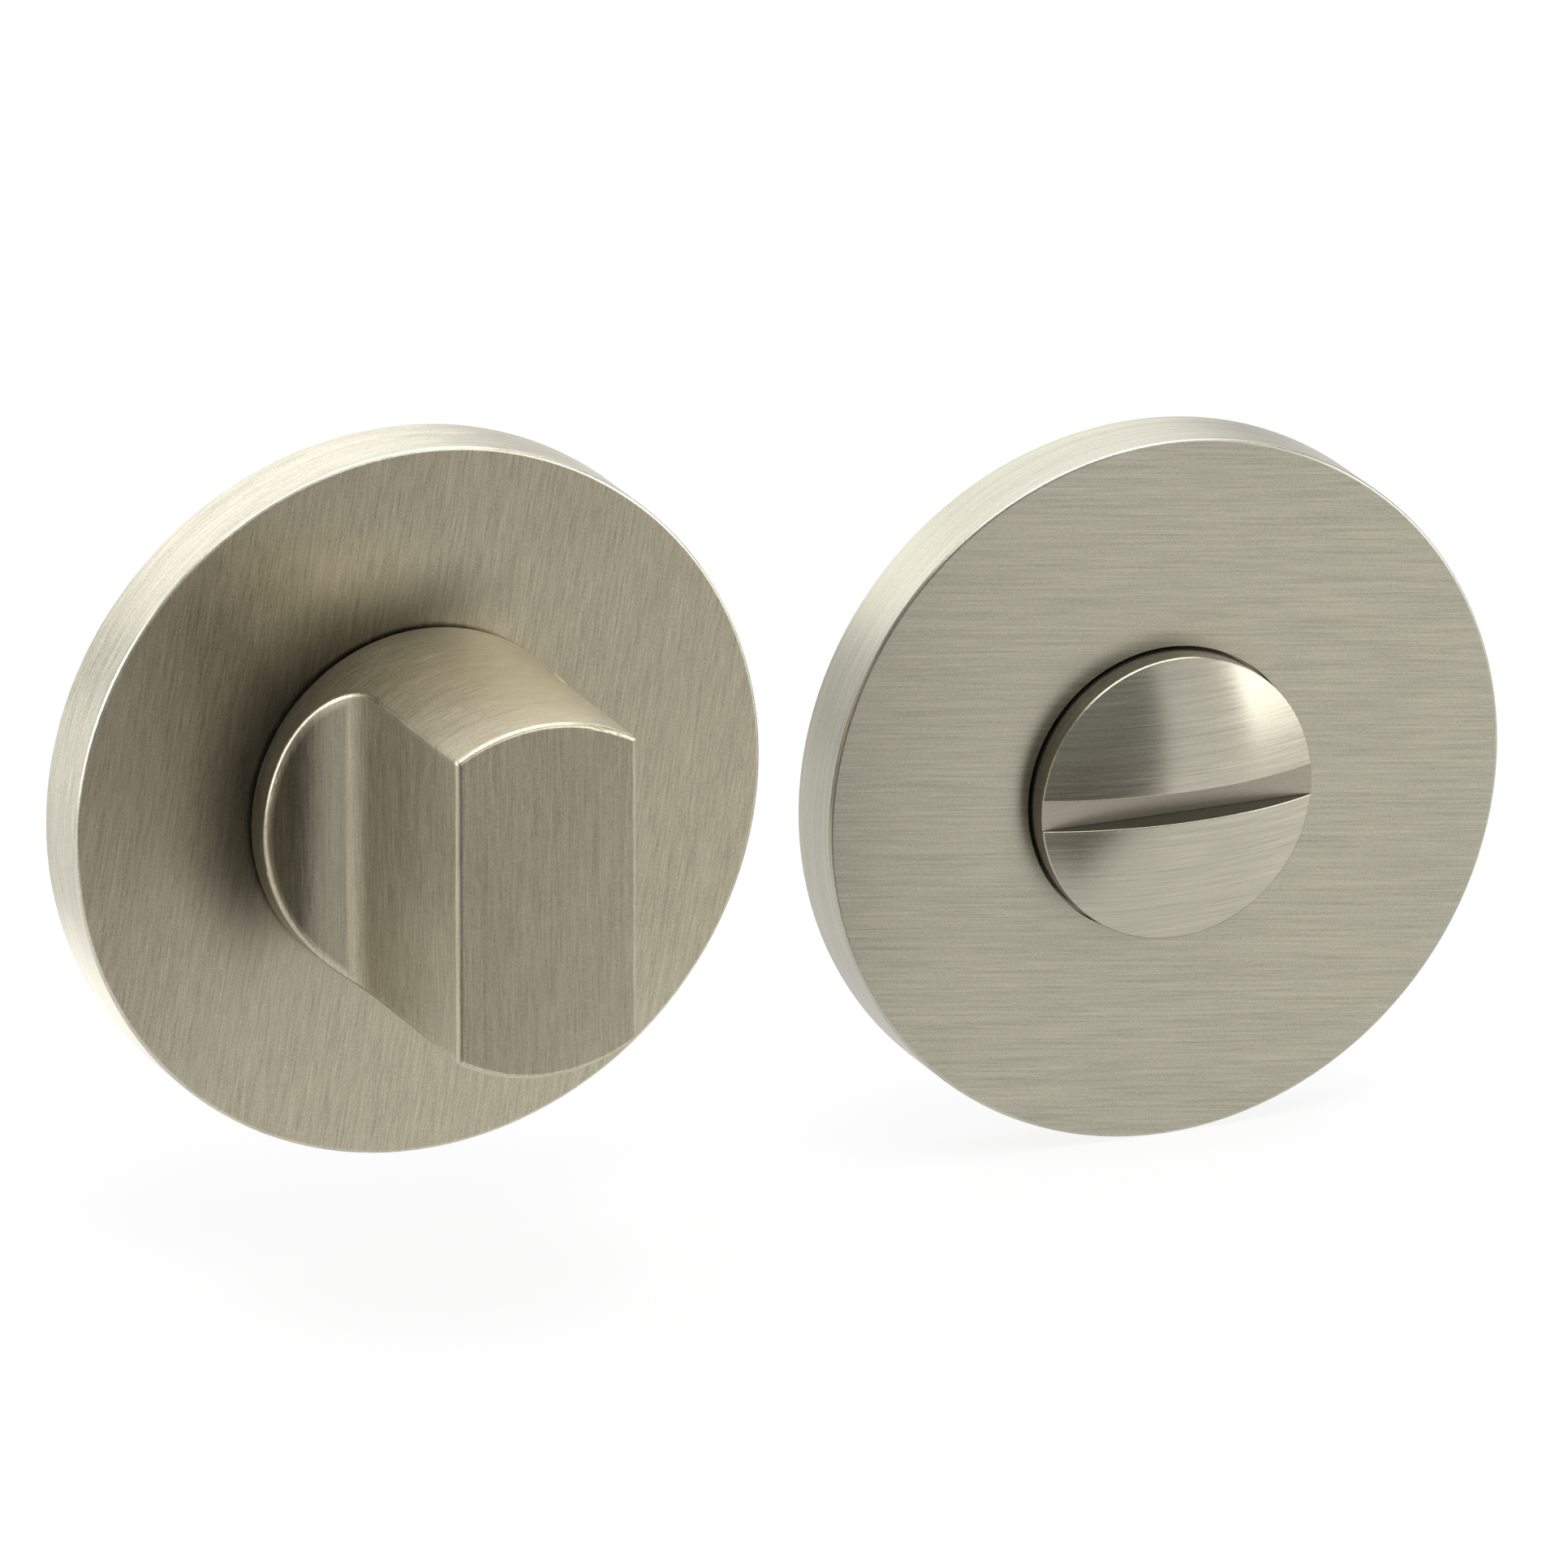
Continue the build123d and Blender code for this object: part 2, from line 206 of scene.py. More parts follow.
class LockThread(bpy.types.PropertyGroup):
    """Sizes of the two threaded posts"""
    pitch: FloatProperty(
        name="Pitch", description="Pitch of the thread",
        unit="LENGTH", min=0.0001, default=0.0007, precision=5)
    depth: FloatProperty(
        name="Depth", description="Depth of the thread's groove outside the tapping bore",
        unit="LENGTH", min=0.0, default=0.00035, precision=5)
    bore_radius: FloatProperty(
        name="Bore radius", description="Radius of the tapping bore",
        unit="LENGTH", min=0.0005, default=0.00165, precision=5)
    shank_radius: FloatProperty(
        name="Shank radius", description="Radius of the post behind its head",
        unit="LENGTH", min=0.001, default=0.0034, precision=5)
    shank_chamfer: FloatProperty(
        name="Shank chamfer", description="Chamfer at the post's rear end",
        unit="LENGTH", min=0.0, default=0.0004, precision=5)
    head_width: FloatProperty(
        name="Head width", description="Width across the flats of the hexagonal head",
        unit="LENGTH", min=0.001, default=0.008, precision=5)
    head_thickness: FloatProperty(
        name="Head thickness", description="Thickness of the hexagonal head",
        unit="LENGTH", min=0.0001, default=0.0013, precision=5)
    sides: IntProperty(
        name="Sides", description="Points round a post, a multiple of 12", min=24, default=96)
    rows_per_turn: IntProperty(
        name="Rows per turn", description="Rows of faces along one turn of the thread", min=6, default=12)


class LockStudio(bpy.types.PropertyGroup):
    """Camera, floor and light"""
    camera_turn: FloatProperty(
        name="Camera turn", description="How far the camera stands round to the left",
        unit="ROTATION", default=math.radians(23.4))
    camera_rise: FloatProperty(
        name="Camera rise", description="How far the camera looks down",
        unit="ROTATION", default=math.radians(19.1))
    camera_distance: FloatProperty(
        name="Camera distance", description="From the camera to the point that it looks at",
        unit="LENGTH", min=0.1, default=2.0)
    camera_lens: FloatProperty(
        name="Lens", description="Focal length in millimetres", min=10.0, default=650.7)
    camera_target: FloatVectorProperty(
        name="Camera target", description="The point that the camera looks at", subtype="TRANSLATION",
        unit="LENGTH", size=3, default=(0.02786, -0.0056, -0.00252))
    floor_size: FloatProperty(
        name="Floor size", description="Width of the square floor", unit="LENGTH", min=1.0, default=24.0)
    floor_colour: FloatVectorProperty(
        name="Floor", description="Colour of the floor", subtype="COLOR", size=3, min=0.0, max=1.0,
        default=(0.82, 0.82, 0.82))
    floor_whiteness: FloatProperty(
        name="Floor whiteness", description="Share of plain white in the floor, the rest shows the shadow",
        subtype="FACTOR", min=0.0, max=1.0, default=0.88)
    near_whiteness: FloatProperty(
        name="Near whiteness", description="Share of plain white that metal shows of the floor close by",
        subtype="FACTOR", min=0.0, max=1.0, default=1.0)
    far_whiteness: FloatProperty(
        name="Far whiteness", description="Share of plain white that metal shows of the floor further off",
        subtype="FACTOR", min=0.0, max=1.0, default=0.82)
    grey_card: FloatVectorProperty(
        name="Grey card", description="Colour of the card that lies on the floor in front", subtype="COLOR",
        size=3, min=0.0, max=1.0, default=(0.105, 0.096, 0.088))
    room_light: FloatProperty(
        name="Room light", description="Strength of the even light all round", min=0.0, default=0.235)
    overhead_light: FloatProperty(
        name="Overhead softbox", description="Radiance of the softbox above", min=0.0, default=3.0)
    right_light: FloatProperty(
        name="Right softbox", description="Radiance of the softbox on the right", min=0.0, default=2.8)
    back_light: FloatProperty(
        name="Back softbox", description="Radiance of the softbox behind", min=0.0, default=1.5)
    left_light: FloatProperty(
        name="Left softbox", description="Radiance of the turn half's softbox on the left",
        min=0.0, default=4.8)
    turn_fill_light: FloatProperty(
        name="Turn fill", description="Radiance of the turn half's softbox in front on the right",
        min=0.0, default=2.3)
    floor_panel_light: FloatProperty(
        name="Floor panel", description="Radiance of the turn half's panel on the floor in front",
        min=0.0, default=0.75)
    side_panel_light: FloatProperty(
        name="Side panel", description="Radiance of the left rose's weak panel beside the one in front",
        min=0.0, default=0.2)
    back_panel_light: FloatProperty(
        name="Back panel", description="Radiance of the left rose's panel on the floor behind it",
        min=0.0, default=0.8)
    release_rim_light: FloatProperty(
        name="Release rim", description="Radiance of the right rose's softbox behind on the left",
        min=0.0, default=0.7)
    release_fill_light: FloatProperty(
        name="Release fill", description="Radiance of the release half's softbox in front on the right",
        min=0.0, default=0.75)


class Signal:
    """One output of a node, with Python's operators as Math nodes."""

    def __init__(self, shader, socket):
        self.shader = shader
        self.socket = socket

    def math(self, operation, *others):
        """A Math node on this value and the others."""
        return self.shader.node("ShaderNodeMath", {"operation": operation},
                                dict(enumerate((self, *others))))

    def other(self, name):
        """Another output of the same node."""
        return Signal(self.shader, self.socket.node.outputs[name])

    def __add__(self, other):
        return self.math("ADD", other)

    __radd__ = __add__

    def __mul__(self, other):
        return self.math("MULTIPLY", other)

    __rmul__ = __mul__

    def __sub__(self, other):
        return self.math("SUBTRACT", other)

    def __rsub__(self, other):
        return self.shader.node("ShaderNodeMath", {"operation": "SUBTRACT"}, {0: other, 1: self})

    def __truediv__(self, other):
        return self.math("DIVIDE", other)

    def root(self):
        """The square root."""
        return self.math("SQRT")

    def size(self):
        """The value without its sign."""
        return self.math("ABSOLUTE")

    def larger(self, other):
        """The larger one of two values."""
        return self.math("MAXIMUM", other)

    def step(self, low, high):
        """0 below low and 1 above high, with a smooth change between them."""
        return self.shader.node("ShaderNodeMapRange", {"interpolation_type": "SMOOTHSTEP"},
                                {0: self, 1: low, 2: high, 3: 0.0, 4: 1.0})

    def drop(self, low, high):
        """1 below low and 0 above high, with a smooth change between them."""
        return 1.0 - self.step(low, high)

    def above(self, edge, fade=FADE):
        """0 below the edge and 1 above it, with a smooth change as wide as the fade."""
        return self.step(edge - fade / 2, edge + fade / 2)

    def below(self, edge, fade=FADE):
        """1 below the edge and 0 above it, with a smooth change as wide as the fade."""
        return 1.0 - self.above(edge, fade)

    def about(self, mean, spread):
        """Noise from 0 to 1 as values that are spread about a mean."""
        return (self - 0.5) * spread + mean

    def towards(self, other, factor):
        """This value where the factor is 0 and the other where it is 1."""
        return self + (other - self) * factor


class Shader:
    """The node tree of a material or a world, and the one method that makes its nodes."""

    def __init__(self, owner):
        owner.use_nodes = True
        self.owner = owner
        self.tree = owner.node_tree
        self.tree.nodes.clear()

    def node(self, kind, settings=None, sockets=None, output=0):
        """Adds a node: first its settings, then its sockets' values or links. Returns one output."""
        made = self.tree.nodes.new(kind)
        for name, value in (settings or {}).items():
            setattr(made, name, value)
        for name, value in (sockets or {}).items():
            socket = made.inputs[name]
            if isinstance(value, Signal):
                self.tree.links.new(value.socket, socket)
            elif socket.type == "RGBA":
                socket.default_value = (*value[:3], 1.0)
            else:
                socket.default_value = value
        return Signal(self, made.outputs[output]) if made.outputs else None

    def place(self, axis=TURN_AXIS):
        """x and z from a turning axis, and the height, of the shaded point in millimetres."""
        here = self.node("ShaderNodeTexCoord", output="Object")
        x = self.node("ShaderNodeSeparateXYZ", sockets={0: here}, output="X")
        return x / MM - axis[0], x.other("Z") / MM - axis[1], x.other("Y") / -MM

    def vector(self, x, y, z):
        """Three values as a vector."""
        return self.node("ShaderNodeCombineXYZ", sockets={0: x, 1: y, 2: z})

    def noise(self, vector, scale=1.0, detail=2.0, roughness=0.5):
        """Noise from 0 to 1 with its mean near 0.5."""
        return self.node("ShaderNodeTexNoise", sockets={
            "Vector": vector, "Scale": scale, "Detail": detail, "Roughness": roughness})

    def scale(self, colour, factor):
        """A colour times a value."""
        return self.node("ShaderNodeVectorMath", {"operation": "SCALE"}, {0: colour, "Scale": factor})

    def blend(self, factor, first, second):
        """The first colour where the factor is 0 and the second where it is 1."""
        return self.node("ShaderNodeMix", {"data_type": "RGBA"}, {0: factor, 6: first, 7: second},
                         output=2)

    def bump(self, height, distance):
        """A normal that follows a height from 0 to 1, which is a distance in metres."""
        return self.node("ShaderNodeBump", sockets={"Height": height, "Distance": distance})

    def gloss(self, colour, metallic, roughness, normal, stretch=0.0, turn=0.0):
        """A Principled BSDF whose highlight is stretched along +X, turned by a share of a full turn."""
        return self.node("ShaderNodeBsdfPrincipled", sockets={
            "Base Color": colour, "Metallic": metallic, "Roughness": roughness, "Normal": normal,
            "Anisotropic": stretch, "Anisotropic Rotation": turn})

    def mix(self, factor, first, second):
        """The first surface where the factor is 0 and the second where it is 1."""
        return self.node("ShaderNodeMixShader", sockets={0: factor, 1: first, 2: second})

    def mottled(self, colour, tone, metallic, roughness, relief, depth):
        """Ends the tree with a colour times a tone, and with a relief whose depth is in metres."""
        normal = self.bump(relief, depth)
        return self.surface(self.gloss(self.scale(colour, tone), metallic, roughness, normal))

    def surface(self, gloss):
        """Ends the tree with a surface and returns the tree's owner."""
        self.node("ShaderNodeOutputMaterial", sockets={"Surface": gloss})
        return self.owner


# Values of Metallic
METAL = 1.0
PLASTIC = 0.0
# Layers of brushed lines: waves per mm along a line, waves per mm across it, and weight
BRUSH_LAYERS = ((0.04, 1.6, 0.18), (0.10, 5.0, 0.42), (0.25, 9.0, 0.40))
LAYER_ROUGHNESS = 0.6
# Shift of each layer's noise, so that no layer repeats another
LAYER_SHIFT = 7.3
# Radius in mm at which lines that run round an axis have the length that the layers give
ROUND_LINE_RADIUS = 16.0
# Radius in mm inside which the round lines run out
LEAST_LINE_RADIUS = 0.5
# Nickel's clouds, grain and cast parts: how far each reaches into the tone or the roughness
CLOUD_TONE = 0.14
CLOUD_ROUGHNESS = 0.10
GRAIN_ROUGHNESS = 0.25
CAST_GRAIN = 0.5
CAST_ROUGHNESS = 0.16


def straight_lines(shader, along, across, depth, length):
    """Noise from 0 to 1, drawn out into straight brushed lines."""
    total = 0.0
    for index, (long_wave, short_wave, weight) in enumerate(BRUSH_LAYERS):
        drawn_out = along * (long_wave / length) + LAYER_SHIFT * index
        vector = shader.vector(drawn_out, across * short_wave, depth * short_wave)
        total = shader.noise(vector, roughness=LAYER_ROUGHNESS) * weight + total
    return total


def round_lines(shader, x, z, radius, height, length):
    """Noise from 0 to 1, drawn out into lines round the turning axis."""
    reach = radius.larger(LEAST_LINE_RADIUS)
    total = 0.0
    for index, (long_wave, short_wave, weight) in enumerate(BRUSH_LAYERS):
        turn = ROUND_LINE_RADIUS * long_wave / length
        across = (radius + height) * short_wave + LAYER_SHIFT * index
        vector = shader.vector(x / reach * turn, z / reach * turn, across)
        total = shader.noise(vector, roughness=LAYER_ROUGHNESS) * weight + total
    return total


def radius_of(x, z):
    """Distance from the turning axis."""
    return (x * x + z * z).root()


@dataclass
class Brushing:
    """How a piece of nickel is brushed: metal, strength, length and direction of its lines, and gloss."""
    colour: tuple
    contrast: float
    length: float
    angle: float
    roughness: float
    speckle: float


def brushed_nickel(shader, brushing, tone, straight, rounds, turned, plain, finish):
    """Nickel with straight brushed lines, round ones where turned is 1 and a cast look where plain is 1."""
    x, z, height = shader.place()
    spot = shader.vector(x, z, height)
    cloud = shader.noise(spot, scale=0.07, detail=3.0) - 0.5
    cast = shader.noise(spot, scale=2.4, detail=4.0, roughness=0.6) - 0.5
    speckle = shader.noise(spot, scale=8.0, detail=1.0) - 0.5
    lines = straight.towards(rounds, turned) - 0.5 + speckle * brushing.speckle
    grain = lines.towards(cast * CAST_GRAIN, plain)
    level = (grain * brushing.contrast + cloud * CLOUD_TONE + 1.0) * tone
    tint = shader.scale(shader.blend(plain, brushing.colour, finish.cast_colour), level)
    roughness = (grain * GRAIN_ROUGHNESS + cloud * CLOUD_ROUGHNESS + plain * CAST_ROUGHNESS
                 + brushing.roughness)
    normal = shader.bump(grain, finish.brush_depth)
    across = (brushing.angle - math.radians(90)) / math.radians(360)
    brushed = shader.gloss(tint, METAL, roughness, normal, finish.brush_stretch, across)
    even = shader.gloss(tint, METAL, roughness, normal)
    return shader.surface(shader.mix(turned.larger(plain), brushed, even))


@dataclass
class Rose:
    """What sets one rose's material apart. Its radii and the width of its painted shade are in millimetres.
    """
    brushing: Brushing
    # Lighter nickel of the rim: a painted highlight
    rim_lit_nickel: tuple
    axis: tuple
    # Round lines inside this radius
    seat_radius: float
    # Outline of the grip or button, where the painted shade begins
    part_radius: float
    painted_shade_width: float
    # How strongly the painted shade darkens the rose
    painted_shade: float


# From a rose's outline in to the end of its face's lines, and from its face back to its plain inside
RIM_INSET = 0.23
INSIDE_DEPTH = 0.35
# Unit vector in x and z towards the corner where the rose gets painted shade, and the shares of the grip's
# or button's radius between which the painted shade grows along it
SHADE_WAY = (-0.8, 0.6)
SHADE_GROWS = (0.1, 0.7)


def rose_material(name, rose, finish):
    """Straight lines on the face, round ones on the rim and seat, painted shade in a corner, cast metal
    behind.
    """
    shader = Shader(bpy.data.materials.new(name))
    x, z, height = shader.place(rose.axis)
    radius = radius_of(x, z)
    brushing = rose.brushing
    cos, sin = math.cos(brushing.angle), math.sin(brushing.angle)
    straight = straight_lines(shader, x * cos + z * sin, z * cos - x * sin, height, brushing.length)
    rounds = round_lines(shader, x, z, radius, height, brushing.length)
    rim = radius.above(ROSE_RADIUS - RIM_INSET)
    turned = rim.larger(radius.below(rose.seat_radius))
    behind = height.below(ROSE_FRONT - INSIDE_DEPTH) * (1.0 - turned)
    # Painted shade: the rose is darker beside the grip or button, up and to the left
    corner = x * SHADE_WAY[0] + z * SHADE_WAY[1]
    corner = corner.step(*(share * rose.part_radius for share in SHADE_GROWS))
    painted_shade = radius.drop(rose.part_radius, rose.part_radius + rose.painted_shade_width) * corner * rose.painted_shade
    # The rim takes the lighter nickel, a painted highlight
    brushing = replace(brushing, colour=shader.blend(rim, brushing.colour, rose.rim_lit_nickel))
    return brushed_nickel(shader, brushing, 1.0 - painted_shade, straight, rounds, turned, behind, finish)


# Contrast of the grip's lines, where the left rose's is 1
GRIP_CONTRAST = 0.88
# All in millimetres: the width of the grip's rubbed edges, lighter from wear and a painted highlight, and
# the fade at the bar's outline
RUBBED_LIT_EDGE = 0.35
OUTLINE_FADE = 0.08
# How deep the round lines are let into the bar, and how far they reach up from the rose's face
BAR_SKIN = 0.2
BAR_FOOT = 0.35
# Painted shade in the scoops: heights over the shoulder between which its two layers fade, the share of the
# first, and how far in from the bar's outline both end
BAND_FADES = (1.80, 2.30)
SHOULDER_FADES = (0.05, 0.40)
BAND_SHARE = 0.7
SCOOP_FADES = (0.4, 0.7)


def grip_material(finish):
    """Lines up and down the blade and its scoops, round ones on the bar, rubbed edges with a painted
    highlight, painted shade in the scoops.
    """
    shader = Shader(bpy.data.materials.new("satin_nickel_grip"))
    brushing = Brushing(colour=finish.turn_nickel, contrast=GRIP_CONTRAST * finish.turn_contrast,
                        length=finish.turn_line_length, angle=math.radians(90),
                        roughness=finish.nickel_roughness, speckle=finish.speckle)
    x, z, height = shader.place(TURN_AXIS)
    radius = radius_of(x, z)
    straight = straight_lines(shader, z, x, height, brushing.length)
    rounds = round_lines(shader, x, z, radius, height, brushing.length)
    turned = radius.above(GRIP_RADIUS - BAR_SKIN, BAR_SKIN).larger(height.below(ROSE_FRONT + BAR_FOOT))
    # Lighter rubbed edges: wear and a painted highlight
    bar_edge = radius.above(GRIP_RADIUS - RUBBED_LIT_EDGE) * radius.drop(GRIP_RADIUS - OUTLINE_FADE, GRIP_RADIUS)
    blade_edge = x.size().above(BLADE_HALF - RUBBED_LIT_EDGE) * height.above(GRIP_FRONT - RUBBED_LIT_EDGE)
    rubbed_and_lit = bar_edge.larger(blade_edge)
    # Painted shade at the bottom of the scoops
    over_shoulder = height - GRIP_SHOULDER
    band = over_shoulder.drop(*BAND_FADES) * BAND_SHARE
    shoulder = over_shoulder.drop(*SHOULDER_FADES) * (1.0 - BAND_SHARE)
    scoop = (band + shoulder) * (GRIP_RADIUS - radius).step(*SCOOP_FADES)
    tone = (1.0 + rubbed_and_lit * (finish.edge_wear_and_highlight - 1.0)) * (1.0 - scoop * finish.scoop_painted_shade)
    return brushed_nickel(shader, brushing, tone, straight, rounds, turned, 0.0, finish)


# The button's fine grain, where the roses' is 1, and how near its slot's floor is to a cast look
BUTTON_SPECKLE = 0.3
SLOT_CAST = 0.4
# All in millimetres: how deep the round lines are let into the button's side, with their fade, and how
# far they reach up from its base
BUTTON_SKIN = 0.06
BUTTON_SKIN_FADE = 0.08
BUTTON_FOOT = 0.15
# The slot's finish begins this far under its floor, and fades this far before its walls
SLOT_UNDER = 0.17
SLOT_FADES = (0.01, 0.05)
# The lower wall's painted shade fades between these distances behind the wall and before it
BEHIND_WALL_FADES = (0.01, 0.04)
BEFORE_WALL_FADES = (0.02, 0.06)


def button_material(finish):
    """Lines along the coin slot on the dome, round ones on the side, a blasted slot with painted shade on
    its lower wall.
    """
    shader = Shader(bpy.data.materials.new("satin_nickel_button"))
    x, z, height = shader.place(RELEASE_AXIS)
    radius = radius_of(x, z)
    turned = radius.above(BUTTON_RADIUS - BUTTON_SKIN, BUTTON_SKIN_FADE)
    turned = turned.larger(height.below(BUTTON_BASE + BUTTON_FOOT))
    slot_height = height.above(SLOT_FLOOR - SLOT_UNDER)
    slot = (SLOT_HALF - z.size()).step(*SLOT_FADES) * slot_height
    before_wall = z + SLOT_HALF
    behind_wall = -SLOT_HALF - z
    lower_wall = behind_wall.drop(*BEHIND_WALL_FADES) * before_wall.drop(*BEFORE_WALL_FADES) * slot_height
    brushing = Brushing(colour=shader.blend(slot, finish.button_nickel, finish.slot_nickel),
                        contrast=finish.release_contrast, length=1.0, angle=0.0,
                        roughness=finish.button_roughness, speckle=BUTTON_SPECKLE * finish.speckle)
    straight = straight_lines(shader, x, z, 0.0, brushing.length)
    rounds = round_lines(shader, x, z, radius, height, brushing.length)
    # Painted shade on the slot's lower wall
    tone = 1.0 - lower_wall * finish.slot_painted_shade
    return brushed_nickel(shader, brushing, tone, straight, rounds, turned, slot * SLOT_CAST, finish)


# Depths of the hidden pieces' relief, in metres
MOULDED_DEPTH = 0.00002
TURNED_DEPTH = 0.000006
DRAWN_DEPTH = 0.000005
CRYSTAL_DEPTH = 0.000006
# Casts that spring steel and zinc plate take on in places
OXIDE_BLUE = (0.14, 0.155, 0.19)
ZINC_STRAW = (0.62, 0.58, 0.47)
ZINC_BLUE = (0.53, 0.59, 0.66)


def plate_material(finish):
    """Moulded plastic: fine sparkle of the tool's texture, faint flow marks and dull patches."""
    shader = Shader(bpy.data.materials.new("plate_nylon_moulded"))
    x, z, height = shader.place()
    grain = shader.noise(shader.vector(x, z, height), scale=5.0, detail=3.0, roughness=0.65)
    flow = shader.noise(shader.vector(x * 0.25, z * 0.05, height * 0.25), detail=3.0)
    tone = grain.about(mean=1.0, spread=0.5) + flow.about(mean=0.0, spread=0.6)
    roughness = flow.about(mean=0.48, spread=0.3)
    return shader.mottled(finish.plate_colour, tone, PLASTIC, roughness, grain, MOULDED_DEPTH)


def bearing_material(finish):
    """Turned bearing plastic with faint machining lines."""
    shader = Shader(bpy.data.materials.new("bearing_nylon_turned"))
    x, z, height = shader.place()
    lines = shader.noise(shader.vector(x * 0.4, z * 0.4, height * 9.0), detail=2.0)
    cloud = shader.noise(shader.vector(x, z, height), scale=0.4, detail=3.0)
    tone = lines.about(mean=1.0, spread=0.35) + cloud.about(mean=0.0, spread=0.4)
    roughness = cloud.about(mean=0.42, spread=0.25)
    return shader.mottled(finish.bearing_colour, tone, PLASTIC, roughness, lines, TURNED_DEPTH)


def spring_material(finish):
    """Dark oiled spring steel, mottled, with fine drawing lines."""
    shader = Shader(bpy.data.materials.new("spring_steel_dark"))
    x, z, height = shader.place()
    spot = shader.vector(x, z, height)
    mottle = shader.noise(spot, scale=0.9, detail=4.0, roughness=0.6)
    grain = shader.noise(spot, scale=7.0, detail=2.0)
    colour = shader.blend(mottle.step(0.45, 0.75), finish.spring_colour, OXIDE_BLUE)
    tone = grain.about(mean=1.0, spread=0.4)
    roughness = mottle.about(mean=0.42, spread=0.3)
    return shader.mottled(colour, tone, METAL, roughness, grain, DRAWN_DEPTH)


def zinc_material(finish):
    """Bright zinc plate with a faint blue and straw cast and fine crystals."""
    shader = Shader(bpy.data.materials.new("zinc_plate_bright"))
    x, z, height = shader.place()
    spot = shader.vector(x, z, height)
    cast = shader.noise(spot, scale=0.16, detail=2.0)
    crystal = shader.noise(spot, scale=3.5, detail=4.0, roughness=0.7)
    warm = shader.blend(cast.step(0.30, 0.50), ZINC_STRAW, finish.zinc_colour)
    colour = shader.blend(cast.step(0.55, 0.75), warm, ZINC_BLUE)
    tone = crystal.about(mean=1.0, spread=0.4)
    roughness = crystal.about(mean=0.30, spread=0.3)
    return shader.mottled(colour, tone, METAL, roughness, crystal, CRYSTAL_DEPTH)


def dress(material, *nodes):
    """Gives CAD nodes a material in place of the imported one."""
    for name in nodes:
        for holder in frame["nodes"][name].material_slots:
            holder.material = material


# A thread's groove: how steep its flanks are over a turn, and how flat its floor is
FLANK_SLOPE = 2.6
FLOOR_FLATNESS = 1.15
# Faces that meet at a larger angle than this keep a sharp edge
SHARP_ANGLE = math.radians(28)


def hexagon_radius(angle, half_width):
    """Distance from a hexagon's centre to its outline, with flats towards +X and -X."""
    side = math.radians(60)
    off = (angle + side / 2) % side - side / 2
    return half_width / math.cos(off)


def post_rings(node, thread):
    """A threaded post's angles, and its rings of (radius, height) up its outside and down its thread."""
    low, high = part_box(node)
    rear, front = -high.y, -low.y
    head_rear = front - thread.head_thickness
    angles = [2 * math.pi * k / thread.sides for k in range(thread.sides)]
    half_width = thread.head_width / 2

    def level(radius, height):
        return [(radius, height)] * thread.sides

    def hexagon(height):
        return [(hexagon_radius(a, half_width), height) for a in angles]

    rings = [level(thread.shank_radius - thread.shank_chamfer, rear),
             level(thread.shank_radius, rear + thread.shank_chamfer),
             level(thread.shank_radius, head_rear), hexagon(head_rear), hexagon(front)]
    rows = round((front - rear) / thread.pitch * thread.rows_per_turn)
    for row in range(rows + 1):
        height = front + (rear - front) * row / rows
        rings.append([(thread_radius(a, height, thread, rear, front), height) for a in angles])
    return angles, rings


def thread_radius(angle, height, thread, rear, front):
    """Radius of the tapped wall: the thread's groove fades out at both mouths."""
    turn = (height / thread.pitch + angle / (2 * math.pi)) % 1.0
    groove = max(0.0, 1.0 - abs(turn - 0.5) * FLANK_SLOPE)
    mouth = min(1.0, (height - rear) / (thread.pitch / 2), (front - height) / (thread.pitch / 2))
    return thread.bore_radius + thread.depth * min(1.0, groove * FLOOR_FLATNESS) * mouth


def threaded_post(name, node, thread, material):
    """A post with its real thread, in place of the plain CAD node."""
    low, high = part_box(node)
    middle = (low + high) / 2
    angles, rings = post_rings(node, thread)
    points = [(middle.x + r * math.cos(a), -height, middle.z + r * math.sin(a))
              for ring in rings for a, (r, height) in zip(angles, ring)]
    sides, count = thread.sides, len(rings)
    faces = []
    for ring in range(count):
        here, there = ring * sides, (ring + 1) % count * sides
        for k in range(sides):
            after = (k + 1) % sides
            faces.append((here + k, there + k, there + after, here + after))
    mesh = bpy.data.meshes.new(name)
    mesh.from_pydata(points, [], faces)
    mesh.materials.append(material)
    mesh.validate()
    mesh.shade_smooth()
    mesh.set_sharp_from_angle(angle=SHARP_ANGLE)
    post = bpy.data.objects.new(name, mesh)
    bpy.context.scene.collection.objects.link(post)
    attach(post, "roses")
    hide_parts(node)


# All in millimetres: where the left rose's round lines end, the gap round the button, and how far the
# painted shade reaches out from the grip and from the button
TURN_SEAT_RADIUS = 8.2
BUTTON_CLEARANCE = 0.2
# Widths of the painted shade beside the grip and beside the button
TURN_SHADE_WIDTH = 6.5
BUTTON_SHADE_WIDTH = 1.8


